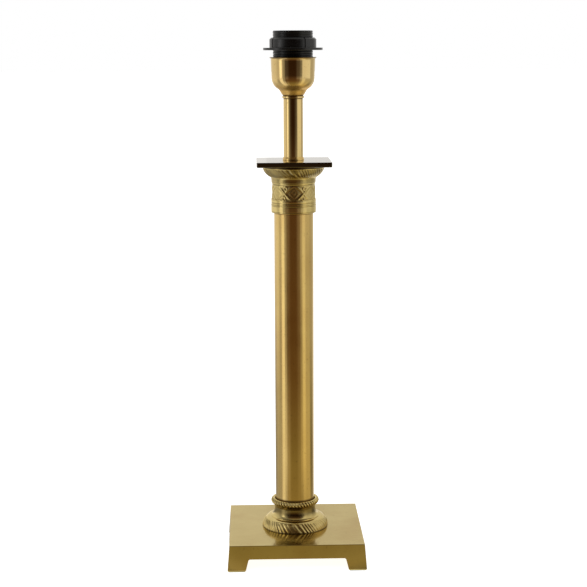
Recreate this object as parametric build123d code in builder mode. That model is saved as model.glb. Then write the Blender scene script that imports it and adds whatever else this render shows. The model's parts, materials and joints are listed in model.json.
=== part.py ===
"""Column table lamp: a cast base and column held together by one threaded tube, with a lampholder on top.

Millimetres. +Z is up, the origin is on the table under the middle of the base, and the front faces -Y.
"""

import os
from math import atan2, cos, degrees, hypot, pi, radians, sin

from build123d import *

# ---------------------------------------------------------------- fits
thread_clearance = 0.05
seat_clearance = 0.05

# ---------------------------------------------------------------- driving sizes
# Base: an open casting on four corner feet, with a felt pad under each
base_top_side = 136.4
base_foot_side = 140.5
base_height = 25.9
base_skin = 3.6
base_wall = 4.0
base_edge_radius = 0.6
foot_width = 18.3
arch_height = 11.9
arch_lean = 3.1
arch_radius = 2.0
boss_radius = 15.0
boss_depth = 2.0
pad_thickness = 1.0
pad_inset = 0.6
pad_corner_radius = 1.5

# Threaded tube through the whole lamp, M10 x 1, with its nuts and washers
rod_radius = 5.0
rod_bore_radius = 3.8
rod_hole_radius = 5.25
rod_tail = 2.5
rod_head = 15.6
nut_flats = 14.0
nut_height = 3.5
washer_radius = 13.0
washer_thickness = 1.6
lock_washer_radius = 9.0
lock_washer_thickness = 1.4
lock_washer_gap = 1.2
plate_washer_radius = 8.0
plate_washer_thickness = 1.2

# Cord inlet bush in the bottom end of the threaded tube
inlet_radius = 3.1
inlet_flange_radius = 4.8
inlet_flange = 1.2
inlet_length = 7.0

# Column foot: a leaf cushion, a hollow moulding and a ring
foot_height = 29.8
foot_seat_height = 18.8
foot_web = 4.0
foot_hollow_radius = 17.5
cushion_radius = 34.2
cushion_height = 11.0
cushion_top_radius = 25.2
cushion_fillet = 0.7
waist_radius = 21.0
scotia_height = 9.0
rope_radius = 2.9
rope_ring_radius = 21.95

# Column tube and the two discs that centre it on the threaded tube
column_radius = 19.95
column_wall = 1.5
column_length = 346.0
disc_flange = 1.5
disc_spigot = 4.0

# Capital: a band, a drum, a cove and a leaf echinus with a set-back rim
capital_skirt = 39.5
capital_head = 8.7
capital_bevel = 2.2
capital_bevel_height = 0.7
capital_opening_radius = 14.0
band_radius = 22.7
band_height = 14.8
band_line_height = 10.2
band_line_width = 1.0
band_line_depth = 0.5
drum_radius = 21.9
drum_height = 16.4
cove_foot_radius = 22.4
cove_top_radius = 23.4
cove_height = 5.1
echinus_radius = 31.5
echinus_height = 9.7
echinus_belly = 1.4
rim_radius = 30.3

# Chords in each quarter of a turned moulding
curve_steps = 3
bead_steps = 2

# Leaf mouldings, one pattern on the cushion and on the echinus
leaf_count = 24
leaf_depth = 1.1
leaf_turn = 20.0
leaf_levels = 5

# Square top plate
plate_side = 74.8
plate_thickness = 5.1
plate_top_radius = 0.6
plate_bottom_radius = 1.4

# Stem with the ring at its foot and the neck ring on its top
stem_radius = 9.85
stem_wall = 1.0
stem_length = 61.9
stem_ring_wall = 0.85
stem_ring_height = 3.3
stem_ring_edge = 0.5
neck_radius = 11.1
neck_rim = 2.0
neck_spigot = 3.0
neck_seat_radius = 10.1
neck_seat_height = 0.4

# Spun cup round the lampholder
cup_wall = 0.8
cup_height = 38.1
cup_foot_radius = 10.4
cup_foot_height = 1.2
cup_bead_radius = 13.1
cup_bead_height = 4.8
cup_root_radius = 15.2
cup_root_height = 6.7
cup_shoulder_radius = 21.6
cup_shoulder_height = 17.4
cup_belly = 1.6
cup_mouth_radius = 22.2
cup_lip_radius = 23.5

# Lampholder for a 27 mm screw cap: dome, entry bush, barrel, insert and shell
bush_radius = 6.8
bush_flange_radius = 8.3
bush_flange = 1.5
bush_height = 16.6
nipple_radius = 8.9
nipple_height = 8.6
dome_radius = 18.9
dome_rise = 10.0
dome_height = 12.2
dome_wall = 2.0
dome_thread_radius = 17.3
dome_thread_height = 6.8
set_screw_radius = 1.5
set_screw_length = 4.0
set_screw_room = 0.2
barrel_radius = 20.0
barrel_length = 42.5
barrel_bore_radius = 14.2
barrel_lead = 3.4
barrel_lead_depth = 0.5
barrel_mouth_bevel = 1.6
insert_radius = 17.0
insert_flange = 6.5
insert_body_radius = 14.9
insert_body_height = 7.5
well_radius = 8.6
well_depth = 4.6
shell_radius = 13.4
shell_wall = 0.5
shell_height = 23.5
shell_opening_radius = 8.0

# Contacts and terminals in the insert
contact_strip = 0.5
contact_width = 5.0
contact_root = 3.6
contact_root_inset = 0.9
contact_gap = 0.3
contact_lift = 0.35
contact_rise = 2.9
contact_slope = 3.4
contact_flat = 3.0
contact_hook = 1.3
contact_hook_drop = 0.7
terminal_width = 6.0
terminal_depth = 7.0
terminal_height = 6.0
terminal_spacing = 17.0
terminal_clearance = 0.1
terminal_pocket = 6.6
terminal_screw_radius = 1.5
terminal_screw_length = 5.0
terminal_head_radius = 2.6
terminal_head = 1.6
rivet_radius = 1.0
rivet_head_radius = 1.6
rivet_head = 0.4

# Shade ring on the outside thread of the barrel
shade_ring_rise = 6.8
shade_flange_radius = 29.7
shade_flange = 2.4
shade_ring_radius = 23.35
shade_ring_top_radius = 21.6
shade_ring_height = 12.3
shade_ring_bevel = 1.7
grip_count = 4
grip_width = 1.3
grip_depth = 0.9
grip_phase = -61.0

# ---------------------------------------------------------------- levels, from the table up
feet_z = pad_thickness
base_top_z = feet_z + base_height
ceiling_z = base_top_z - base_skin
boss_z = ceiling_z - boss_depth
washer_z = boss_z - washer_thickness
lock_washer_z = washer_z - lock_washer_thickness
base_nut_z = lock_washer_z - nut_height
rod_bottom_z = base_nut_z - rod_tail

foot_seat_z = base_top_z + foot_seat_height
foot_top_z = base_top_z + foot_height
column_bottom_z = foot_seat_z + disc_flange
column_top_z = column_bottom_z + column_length
ledge_z = column_top_z + disc_flange
capital_bottom_z = ledge_z - capital_skirt
capital_top_z = ledge_z + capital_head
drum_z = capital_bottom_z + band_height
cove_z = drum_z + drum_height
echinus_z = cove_z + cove_height
rim_z = echinus_z + echinus_height

plate_top_z = capital_top_z + plate_thickness
plate_nut_z = plate_top_z + plate_washer_thickness
stem_top_z = plate_top_z + stem_length
neck_top_z = stem_top_z + neck_rim
cup_z = neck_top_z + neck_seat_height
cup_lip_z = cup_z + cup_height

holder_z = cup_z + cup_wall
rod_top_z = holder_z + rod_head
dome_z = holder_z + nipple_height
dome_floor_z = dome_z + dome_wall
dome_shoulder_z = dome_z + dome_height
insert_z = dome_shoulder_z + dome_thread_height
insert_bottom_z = insert_z - insert_body_height
terminal_top_z = insert_bottom_z + terminal_pocket
shell_z = insert_z + insert_flange
well_z = shell_z - well_depth
barrel_top_z = dome_shoulder_z + barrel_length
shade_ring_z = cup_lip_z + shade_ring_rise

# ---------------------------------------------------------------- radii of the fits
rod_thread_radius = rod_radius + thread_clearance
inlet_spigot_radius = rod_bore_radius - seat_clearance
column_seat_radius = column_radius + seat_clearance
disc_spigot_radius = column_radius - column_wall - seat_clearance
stem_seat_radius = stem_radius + seat_clearance
neck_spigot_radius = stem_radius - stem_wall - seat_clearance
bush_seat_radius = bush_radius + seat_clearance
dome_inner_radius = dome_thread_radius - dome_wall
barrel_skirt_radius = dome_thread_radius + thread_clearance
shade_thread_radius = barrel_radius + thread_clearance


def quarter(centre, run, rise, start, steps):
    """Points along a quarter ellipse round centre, from start degrees on."""
    angles = [radians(start + 90 * step / steps) for step in range(steps + 1)]
    return [(centre[0] + run * cos(angle), centre[1] + rise * sin(angle)) for angle in angles]


def leaf_band(base_z, outline):
    """A band of slanting ribbed leaves as one solid; outline gives (radius, height) at 0 to 90 degrees."""
    widest = max(outline(0)[0], outline(90)[0])
    rings = []
    for level in range(leaf_levels):
        share = level / (leaf_levels - 1)
        rib, height = outline(90 * share)
        edge = rib * (1 - leaf_depth / widest)
        ring = []
        for half in range(2 * leaf_count):
            radius = rib if half % 2 else edge
            turn = pi * half / leaf_count - radians(leaf_turn * share)
            ring.append((radius * cos(turn), radius * sin(turn), base_z + height))
        rings.append(ring)
    facets = [Face(Wire.make_polygon(rings[0])), Face(Wire.make_polygon(rings[-1]))]
    for low, high in zip(rings, rings[1:]):
        for half in range(2 * leaf_count):
            after = (half + 1) % (2 * leaf_count)
            facets.append(Face(Wire.make_polygon((low[half], low[after], high[half]))))
            facets.append(Face(Wire.make_polygon((low[after], high[after], high[half]))))
    return Solid(Shell(facets))


def cushion_outline(angle):
    """A quarter ellipse, widest where the foot meets the base."""
    run = cushion_top_radius - cushion_radius
    return cushion_radius + run * (1 - cos(radians(angle))), cushion_height * sin(radians(angle))


def echinus_outline(angle):
    """A shallow arc, widest under the top plate."""
    share = angle / 90
    run = echinus_radius - cove_top_radius
    bulge = 4 * echinus_belly * share * (1 - share) / hypot(run, echinus_height)
    return cove_top_radius + run * share + bulge * echinus_height, echinus_height * share - bulge * run


# ---------------------------------------------------------------- base
base_lean = (base_foot_side - base_top_side) / 2
base_draft = degrees(atan2(base_lean, base_height))
arch_span = base_foot_side - 2 * foot_width
arch_top_span = arch_span - 2 * arch_lean
cavity_side = base_foot_side - 2 * base_wall
cavity_arm = arch_top_span + 2 * base_lean * arch_height / base_height

with BuildPart() as base_plate:
    with BuildSketch(Plane.XY.offset(feet_z)):
        Rectangle(base_foot_side, base_foot_side)
    extrude(amount=base_height, taper=base_draft)
    fillet(base_plate.faces().sort_by(Axis.Z)[-1].edges(), base_edge_radius)
    # the hollow leaves the skin, the walls and a post over each foot
    with BuildSketch(Plane.XY.offset(feet_z)):
        Rectangle(cavity_side, cavity_arm)
        Rectangle(cavity_arm, cavity_side)
    extrude(amount=base_height - base_skin, taper=base_draft, mode=Mode.SUBTRACT)
    # one arch through the front and back walls, and one through the sides
    for wall_plane in (Plane.XZ, Plane.YZ):
        with BuildSketch(wall_plane) as arch:
            with BuildLine():
                Polyline(
                    (-arch_span / 2, feet_z),
                    (-arch_top_span / 2, feet_z + arch_height),
                    (arch_top_span / 2, feet_z + arch_height),
                    (arch_span / 2, feet_z),
                    close=True,
                )
            make_face()
            fillet(arch.vertices().group_by(Axis.Y)[-1], arch_radius)
        extrude(amount=base_foot_side, both=True, mode=Mode.SUBTRACT)
    # the boss that the washer and nut pull against
    with BuildSketch(Plane.XY.offset(boss_z)):
        Circle(boss_radius)
    extrude(amount=boss_depth)
    with BuildSketch(Plane.XY.offset(boss_z)):
        Circle(rod_hole_radius)
    extrude(amount=boss_depth + base_skin, mode=Mode.SUBTRACT)
base_plate.part.label = "base_plate"

with BuildPart() as felt_pads:
    pad_side = foot_width - 2 * pad_inset
    pad_pitch = base_foot_side - foot_width
    with BuildSketch():
        with GridLocations(pad_pitch, pad_pitch, 2, 2):
            RectangleRounded(pad_side, pad_side, pad_corner_radius)
    extrude(amount=pad_thickness)
felt_pads.part.label = "felt_pads"

# ---------------------------------------------------------------- threaded tube and its fastenings
with BuildPart() as threaded_tube:
    with BuildSketch(Plane.XY.offset(rod_bottom_z)):
        Circle(rod_radius)
        Circle(rod_bore_radius, mode=Mode.SUBTRACT)
    extrude(amount=rod_top_z - rod_bottom_z)
threaded_tube.part.label = "threaded_tube"

with BuildPart() as inlet_bush:
    with BuildSketch(Plane.XY.offset(rod_bottom_z - inlet_flange)):
        Circle(inlet_flange_radius)
    extrude(amount=inlet_flange)
    with BuildSketch(Plane.XY.offset(rod_bottom_z)):
        Circle(inlet_spigot_radius)
    extrude(amount=inlet_length - inlet_flange)
    with BuildSketch(Plane.XY.offset(rod_bottom_z - inlet_flange)):
        Circle(inlet_radius)
    extrude(amount=inlet_length, mode=Mode.SUBTRACT)
inlet_bush.part.label = "inlet_bush"

with BuildPart() as base_washer:
    with BuildSketch(Plane.XY.offset(washer_z)):
        Circle(washer_radius)
        Circle(rod_hole_radius, mode=Mode.SUBTRACT)
    extrude(amount=washer_thickness)
base_washer.part.label = "base_washer"

with BuildPart() as base_lock_washer:
    with BuildSketch(Plane.XY.offset(lock_washer_z)):
        Circle(lock_washer_radius)
        Circle(rod_hole_radius, mode=Mode.SUBTRACT)
        with Locations((lock_washer_radius, 0)):
            Rectangle(2 * lock_washer_radius, lock_washer_gap, mode=Mode.SUBTRACT)
    extrude(amount=lock_washer_thickness)
base_lock_washer.part.label = "base_lock_washer"

with BuildPart() as hex_nuts:
    for nut_z in (base_nut_z, plate_nut_z):
        with BuildSketch(Plane.XY.offset(nut_z)):
            RegularPolygon(nut_flats / 2, 6, major_radius=False)
            Circle(rod_thread_radius, mode=Mode.SUBTRACT)
        extrude(amount=nut_height)
hex_nuts.part.label = "hex_nuts"

with BuildPart() as plate_washer:
    with BuildSketch(Plane.XY.offset(plate_top_z)):
        Circle(plate_washer_radius)
        Circle(rod_hole_radius, mode=Mode.SUBTRACT)
    extrude(amount=plate_washer_thickness)
plate_washer.part.label = "plate_washer"

# ---------------------------------------------------------------- column foot
cushion_top_z = base_top_z + cushion_height
hollow_top_z = cushion_top_z + cushion_fillet + scotia_height
hollow_centre = (cushion_top_radius, hollow_top_z)
hollow = quarter(hollow_centre, cushion_top_radius - waist_radius, scotia_height, 180, curve_steps)[::-1]
rope_centre = (rope_ring_radius, foot_top_z - rope_radius)
foot_web_z = foot_seat_z - foot_web

with BuildPart() as column_foot:
    add(leaf_band(base_top_z, cushion_outline))
    # fillet, hollow moulding, waist and roped ring
    with BuildSketch(Plane.XZ):
        with BuildLine():
            Polyline(
                (0, foot_top_z),
                (0, cushion_top_z),
                (cushion_top_radius, cushion_top_z),
                *hollow,
                *quarter(rope_centre, rope_radius, rope_radius, -90, bead_steps),
                *quarter(rope_centre, rope_radius, rope_radius, 0, bead_steps)[1:],
                close=True,
            )
        make_face()
    revolve(axis=Axis.Z)
    # the hollow under the cushion
    with BuildSketch(Plane.XY.offset(base_top_z)):
        Circle(foot_hollow_radius)
    extrude(amount=foot_web_z - base_top_z, mode=Mode.SUBTRACT)
    # the seat of the column, and the way through for the threaded tube
    with BuildSketch(Plane.XY.offset(foot_seat_z)):
        Circle(column_seat_radius)
    extrude(amount=foot_top_z - foot_seat_z, mode=Mode.SUBTRACT)
    with BuildSketch(Plane.XY.offset(foot_web_z)):
        Circle(rod_hole_radius)
    extrude(amount=foot_web, mode=Mode.SUBTRACT)
column_foot.part.label = "column_foot"

# ---------------------------------------------------------------- column
with BuildPart() as column_tube:
    with BuildSketch(Plane.XY.offset(column_bottom_z)):
        Circle(column_radius)
        Circle(column_radius - column_wall, mode=Mode.SUBTRACT)
    extrude(amount=column_length)
column_tube.part.label = "column_tube"

with BuildPart() as centring_discs:
    # the flange of each disc is at an end of the column, and its spigot reaches into it
    for flange_z, spigot_z in ((foot_seat_z, column_bottom_z), (column_top_z, column_top_z - disc_spigot)):
        with BuildSketch(Plane.XY.offset(flange_z)):
            Circle(column_radius)
        extrude(amount=disc_flange)
        with BuildSketch(Plane.XY.offset(spigot_z)):
            Circle(disc_spigot_radius)
        extrude(amount=disc_spigot)
        with BuildSketch(Plane.XY.offset(min(flange_z, spigot_z))):
            Circle(rod_hole_radius)
        extrude(amount=disc_flange + disc_spigot, mode=Mode.SUBTRACT)
centring_discs.part.label = "centring_discs"

# ---------------------------------------------------------------- capital
band_line_z = capital_bottom_z + band_line_height
cove_centre = (cove_top_radius, cove_z)
cove = quarter(cove_centre, cove_top_radius - cove_foot_radius, cove_height, 90, bead_steps)[::-1]

with BuildPart() as capital:
    add(leaf_band(echinus_z, echinus_outline))
    # bevel, band with its line, drum and cove
    with BuildSketch(Plane.XZ):
        with BuildLine():
            Polyline(
                (0, echinus_z),
                (0, capital_bottom_z),
                (band_radius - capital_bevel, capital_bottom_z),
                (band_radius, capital_bottom_z + capital_bevel_height),
                (band_radius, band_line_z),
                (band_radius - band_line_depth, band_line_z + band_line_width / 2),
                (band_radius, band_line_z + band_line_width),
                (band_radius, drum_z),
                (drum_radius, drum_z),
                (drum_radius, cove_z),
                *cove,
                close=True,
            )
        make_face()
    revolve(axis=Axis.Z)
    # the set-back rim that the plate rests on
    with BuildSketch(Plane.XY.offset(rim_z)):
        Circle(rim_radius)
    extrude(amount=capital_top_z - rim_z)
    # the socket over the column, and the opening above its ledge
    with BuildSketch(Plane.XY.offset(capital_bottom_z)):
        Circle(column_seat_radius)
    extrude(amount=capital_skirt, mode=Mode.SUBTRACT)
    with BuildSketch(Plane.XY.offset(ledge_z)):
        Circle(capital_opening_radius)
    extrude(amount=capital_head, mode=Mode.SUBTRACT)
capital.part.label = "capital"

with BuildPart() as top_plate:
    with BuildSketch(Plane.XY.offset(capital_top_z)):
        Rectangle(plate_side, plate_side)
    extrude(amount=plate_thickness)
    fillet(top_plate.faces().sort_by(Axis.Z)[-1].edges(), plate_top_radius)
    fillet(top_plate.faces().sort_by(Axis.Z)[0].edges(), plate_bottom_radius)
    with BuildSketch(Plane.XY.offset(capital_top_z)):
        Circle(rod_hole_radius)
    extrude(amount=plate_thickness, mode=Mode.SUBTRACT)
top_plate.part.label = "top_plate"

# ---------------------------------------------------------------- stem
with BuildPart() as stem_tube:
    with BuildSketch(Plane.XY.offset(plate_top_z)):
        Circle(stem_radius)
        Circle(stem_radius - stem_wall, mode=Mode.SUBTRACT)
    extrude(amount=stem_length)
stem_tube.part.label = "stem_tube"

with BuildPart() as stem_ring:
    with BuildSketch(Plane.XY.offset(plate_top_z)):
        Circle(stem_seat_radius + stem_ring_wall)
    extrude(amount=stem_ring_height)
    chamfer(stem_ring.faces().sort_by(Axis.Z)[-1].edges(), stem_ring_edge)
    with BuildSketch(Plane.XY.offset(plate_top_z)):
        Circle(stem_seat_radius)
    extrude(amount=stem_ring_height, mode=Mode.SUBTRACT)
stem_ring.part.label = "stem_ring"

with BuildPart() as neck_ring:
    with BuildSketch(Plane.XY.offset(stem_top_z - neck_spigot)):
        Circle(neck_spigot_radius)
    extrude(amount=neck_spigot)
    with BuildSketch(Plane.XY.offset(stem_top_z)):
        Circle(neck_radius)
    extrude(amount=neck_rim)
    with BuildSketch(Plane.XY.offset(neck_top_z)):
        Circle(neck_seat_radius)
    extrude(amount=neck_seat_height)
    with BuildSketch(Plane.XY.offset(stem_top_z - neck_spigot)):
        Circle(rod_hole_radius)
    extrude(amount=neck_spigot + neck_rim + neck_seat_height, mode=Mode.SUBTRACT)
neck_ring.part.label = "neck_ring"

# ---------------------------------------------------------------- socket cup
def cup_side(inset, slant):
    """Points up the side of the cup, moved in by inset, and by slant both ways where it leans."""
    foot = cup_foot_radius - inset
    root = (cup_root_radius - slant, cup_z + cup_root_height + slant)
    shoulder = (cup_shoulder_radius - inset, cup_z + cup_shoulder_height)
    run, rise = shoulder[0] - root[0], shoulder[1] - root[1]
    bowl = []
    for step in range(curve_steps + 1):
        share = step / curve_steps
        bulge = 4 * cup_belly * share * (1 - share) / hypot(run, rise)
        bowl.append((root[0] + share * run + bulge * rise, root[1] + share * rise - bulge * run))
    bead_centre = (foot, cup_z + cup_bead_height)
    bead_run, bead_rise = cup_bead_radius - cup_foot_radius, cup_bead_height - cup_foot_height
    return [(foot, cup_z + inset), *quarter(bead_centre, bead_run, bead_rise, -90, bead_steps), *bowl]


with BuildPart() as socket_cup:
    with BuildSketch(Plane.XZ):
        with BuildLine():
            Polyline(
                (rod_hole_radius, cup_z),
                *cup_side(0, 0),
                (cup_mouth_radius, cup_lip_z - cup_wall),
                (cup_lip_radius, cup_lip_z - cup_wall),
                (cup_lip_radius, cup_lip_z),
                (cup_mouth_radius - cup_wall, cup_lip_z),
                *reversed(cup_side(cup_wall, cup_wall / 2**0.5)),
                (rod_hole_radius, cup_z + cup_wall),
                close=True,
            )
        make_face()
    revolve(axis=Axis.Z)
socket_cup.part.label = "socket_cup"

# ---------------------------------------------------------------- lampholder
with BuildPart() as holder_cap:
    dome_centre = (nipple_radius, dome_z + dome_rise)
    dome_run = dome_inner_radius - nipple_radius
    dome_inside = quarter(dome_centre, dome_run, dome_rise - dome_wall, -90, bead_steps)
    with BuildSketch(Plane.XZ):
        with BuildLine():
            Polyline(
                (bush_seat_radius, dome_floor_z),
                (bush_seat_radius, holder_z),
                (nipple_radius, holder_z),
                *quarter(dome_centre, dome_radius - nipple_radius, dome_rise, -90, bead_steps),
                (dome_radius, dome_shoulder_z),
                (dome_thread_radius, dome_shoulder_z),
                (dome_thread_radius, insert_z),
                (dome_inner_radius, insert_z),
                *reversed(dome_inside),
                close=True,
            )
        make_face()
    revolve(axis=Axis.Z)
holder_cap.part.label = "holder_cap"

set_screw_z = dome_floor_z + bush_flange + set_screw_radius + set_screw_room

with BuildPart() as entry_bush:
    with BuildSketch(Plane.XY.offset(holder_z)):
        Circle(bush_radius)
    extrude(amount=bush_height)
    with BuildSketch(Plane.XY.offset(dome_floor_z)):
        Circle(bush_flange_radius)
    extrude(amount=bush_flange)
    with BuildSketch(Plane.XY.offset(holder_z)):
        Circle(rod_thread_radius)
    extrude(amount=bush_height, mode=Mode.SUBTRACT)
    with BuildSketch(Plane.YZ):
        with Locations((0, set_screw_z)):
            Circle(set_screw_radius + thread_clearance)
    extrude(amount=bush_flange_radius, mode=Mode.SUBTRACT)
entry_bush.part.label = "entry_bush"

with BuildPart() as set_screw:
    with BuildSketch(Plane.YZ.offset(rod_thread_radius)):
        with Locations((0, set_screw_z)):
            Circle(set_screw_radius)
    extrude(amount=set_screw_length)
set_screw.part.label = "set_screw"

with BuildPart() as holder_barrel:
    with BuildSketch(Plane.XZ):
        with BuildLine():
            Polyline(
                (barrel_skirt_radius, dome_shoulder_z),
                (barrel_radius, dome_shoulder_z),
                (barrel_radius, barrel_top_z - barrel_lead),
                (barrel_radius - barrel_lead_depth, barrel_top_z),
                (barrel_bore_radius + barrel_mouth_bevel, barrel_top_z),
                (barrel_bore_radius, barrel_top_z - barrel_mouth_bevel),
                (barrel_bore_radius, shell_z),
                (barrel_skirt_radius, shell_z),
                close=True,
            )
        make_face()
    revolve(axis=Axis.Z)
holder_barrel.part.label = "holder_barrel"

# ---------------------------------------------------------------- insert, shell and contacts
terminal_x = terminal_spacing / 2
root_start_x = -well_radius + contact_root_inset
root_end_x = root_start_x + contact_root
live_rivet_x = (root_start_x + root_end_x) / 2
neutral_rivet_x = terminal_x + terminal_width / 2 - rivet_radius - terminal_clearance
rivet_hole_radius = rivet_radius + thread_clearance

with BuildPart() as holder_insert:
    with BuildSketch(Plane.XY.offset(insert_z)):
        Circle(insert_radius)
    extrude(amount=insert_flange)
    with BuildSketch(Plane.XY.offset(insert_bottom_z)):
        Circle(insert_body_radius)
    extrude(amount=insert_body_height)
    with BuildSketch(Plane.XY.offset(well_z)):
        Circle(well_radius)
    extrude(amount=well_depth, mode=Mode.SUBTRACT)
    # a pocket for each terminal, open below
    with BuildSketch(Plane.XY.offset(insert_bottom_z)):
        with GridLocations(terminal_spacing, 0, 2, 1):
            Rectangle(terminal_width + 2 * terminal_clearance, terminal_depth + 2 * terminal_clearance)
    extrude(amount=terminal_pocket, mode=Mode.SUBTRACT)
    with BuildSketch(Plane.XY.offset(terminal_top_z)):
        with Locations((live_rivet_x, 0), (neutral_rivet_x, 0)):
            Circle(rivet_hole_radius)
    extrude(amount=shell_z - terminal_top_z, mode=Mode.SUBTRACT)
holder_insert.part.label = "holder_insert"

with BuildPart() as screw_shell:
    with BuildSketch(Plane.XY.offset(shell_z)):
        Circle(shell_radius + shell_wall)
        Circle(shell_opening_radius, mode=Mode.SUBTRACT)
        with Locations((neutral_rivet_x, 0)):
            Circle(rivet_hole_radius, mode=Mode.SUBTRACT)
    extrude(amount=shell_wall)
    with BuildSketch(Plane.XY.offset(shell_z + shell_wall)):
        Circle(shell_radius + shell_wall)
        Circle(shell_radius, mode=Mode.SUBTRACT)
    extrude(amount=shell_height - shell_wall)
screw_shell.part.label = "screw_shell"

with BuildPart() as contact_base:
    with BuildSketch(Plane.XY.offset(well_z)):
        with Locations((live_rivet_x, 0)):
            Rectangle(contact_root, contact_width)
            Circle(rivet_hole_radius, mode=Mode.SUBTRACT)
    extrude(amount=contact_strip)
contact_base.part.label = "contact_base"

with BuildPart() as centre_contact:
    spring_x = root_end_x + contact_gap + contact_strip / 2
    spring_z = well_z + contact_lift + contact_strip / 2
    flat_x = spring_x + contact_slope
    flat_z = spring_z + contact_rise
    with BuildSketch(Plane.XZ):
        with BuildLine():
            Polyline(
                (spring_x, spring_z),
                (flat_x, flat_z),
                (flat_x + contact_flat, flat_z),
                (flat_x + contact_flat + contact_hook, flat_z - contact_hook_drop),
            )
            offset(amount=contact_strip / 2)
        make_face()
    extrude(amount=contact_width / 2, both=True)
centre_contact.part.label = "centre_contact"

with BuildPart() as contact_rivets:
    with BuildSketch(Plane.XY.offset(terminal_top_z)):
        with Locations((live_rivet_x, 0)):
            Circle(rivet_radius)
    extrude(amount=well_z + contact_strip - terminal_top_z)
    with BuildSketch(Plane.XY.offset(well_z + contact_strip)):
        with Locations((live_rivet_x, 0)):
            Circle(rivet_head_radius)
    extrude(amount=rivet_head)
    # the neutral rivet is flush with the floor of the shell
    with BuildSketch(Plane.XY.offset(terminal_top_z)):
        with Locations((neutral_rivet_x, 0)):
            Circle(rivet_radius)
    extrude(amount=shell_z + shell_wall - terminal_top_z)
contact_rivets.part.label = "contact_rivets"

with BuildPart() as terminal_blocks:
    with BuildSketch(Plane.XY.offset(terminal_top_z - terminal_height)):
        with GridLocations(terminal_spacing, 0, 2, 1):
            Rectangle(terminal_width, terminal_depth)
    extrude(amount=terminal_height)
    with BuildSketch(Plane.XY.offset(terminal_top_z - terminal_height)):
        with GridLocations(terminal_spacing, 0, 2, 1):
            Circle(terminal_screw_radius + thread_clearance)
    extrude(amount=terminal_screw_length + thread_clearance, mode=Mode.SUBTRACT)
terminal_blocks.part.label = "terminal_blocks"

with BuildPart() as terminal_screws:
    with BuildSketch(Plane.XY.offset(terminal_top_z - terminal_height - terminal_head)):
        with GridLocations(terminal_spacing, 0, 2, 1):
            Circle(terminal_head_radius)
    extrude(amount=terminal_head)
    with BuildSketch(Plane.XY.offset(terminal_top_z - terminal_height)):
        with GridLocations(terminal_spacing, 0, 2, 1):
            Circle(terminal_screw_radius)
    extrude(amount=terminal_screw_length)
terminal_screws.part.label = "terminal_screws"

# ---------------------------------------------------------------- shade ring
with BuildPart() as shade_ring:
    with BuildSketch(Plane.XZ):
        with BuildLine():
            Polyline(
                (shade_thread_radius, shade_ring_z),
                (shade_flange_radius, shade_ring_z),
                (shade_flange_radius, shade_ring_z + shade_flange),
                (shade_ring_radius, shade_ring_z + shade_flange),
                (shade_ring_radius, shade_ring_z + shade_ring_height - shade_ring_bevel),
                (shade_ring_top_radius, shade_ring_z + shade_ring_height),
                (shade_thread_radius, shade_ring_z + shade_ring_height),
                close=True,
            )
        make_face()
    revolve(axis=Axis.Z)
    # finger grooves round the body
    with BuildSketch(Plane.XY.offset(shade_ring_z + shade_flange)):
        with PolarLocations(shade_ring_radius, grip_count, start_angle=grip_phase):
            Rectangle(2 * grip_depth, grip_width)
    extrude(amount=shade_ring_height - shade_flange, mode=Mode.SUBTRACT)
shade_ring.part.label = "shade_ring"

# ---------------------------------------------------------------- one STEP file for each piece
pieces = [
    base_plate,
    felt_pads,
    threaded_tube,
    inlet_bush,
    base_washer,
    base_lock_washer,
    plate_washer,
    hex_nuts,
    column_foot,
    column_tube,
    centring_discs,
    capital,
    top_plate,
    stem_tube,
    stem_ring,
    neck_ring,
    socket_cup,
    holder_cap,
    entry_bush,
    set_screw,
    holder_barrel,
    holder_insert,
    screw_shell,
    contact_base,
    centre_contact,
    contact_rivets,
    terminal_blocks,
    terminal_screws,
    shade_ring,
]

os.makedirs("parts", exist_ok=True)
for piece in pieces:
    export_step(piece.part, f"parts/{piece.part.label}.step")
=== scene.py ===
"""Looks of the column table lamp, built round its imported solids.

Metres. +Z is up, the origin is on the table under the middle of the base, and the front faces -Y.
Outlines are written in millimetres and scaled once, where their meshes are made.
"""

import json
from math import cos, hypot, pi, radians, sin, tan

import bmesh
import bpy
import numpy as np
from mathutils import Matrix, Vector


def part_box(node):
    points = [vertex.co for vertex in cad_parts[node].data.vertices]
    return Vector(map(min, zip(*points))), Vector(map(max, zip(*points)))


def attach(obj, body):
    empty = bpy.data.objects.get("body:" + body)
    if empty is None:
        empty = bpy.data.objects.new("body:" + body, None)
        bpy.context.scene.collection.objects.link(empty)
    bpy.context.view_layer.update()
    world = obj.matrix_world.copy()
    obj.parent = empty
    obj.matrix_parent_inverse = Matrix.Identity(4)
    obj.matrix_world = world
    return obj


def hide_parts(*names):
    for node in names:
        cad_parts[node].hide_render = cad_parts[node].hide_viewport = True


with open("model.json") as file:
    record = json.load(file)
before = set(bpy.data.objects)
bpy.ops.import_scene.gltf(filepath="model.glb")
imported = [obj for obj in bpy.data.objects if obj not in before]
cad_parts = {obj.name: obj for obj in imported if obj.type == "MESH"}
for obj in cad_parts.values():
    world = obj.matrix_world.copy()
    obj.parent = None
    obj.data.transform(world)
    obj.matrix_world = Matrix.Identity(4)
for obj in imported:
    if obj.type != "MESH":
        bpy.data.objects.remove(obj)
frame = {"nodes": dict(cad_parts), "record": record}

MM = 0.001
# radius of the holes for the threaded tube in millimetres, points round a carved piece, and the least sharp angle
ROD_HOLE = 5.25
CARVED_AROUND = 768
SHARP_ANGLE = radians(50)
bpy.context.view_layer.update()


# ---------------------------------------------------------------- levels and radii, from the frame
def low(node):
    """The lowest point of a CAD node, in millimetres."""
    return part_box(node)[0].z / MM


def high(node):
    """The highest point of a CAD node, in millimetres."""
    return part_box(node)[1].z / MM


def reach(node):
    """How far a CAD node reaches along +X, in millimetres."""
    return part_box(node)[1].x / MM


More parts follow.
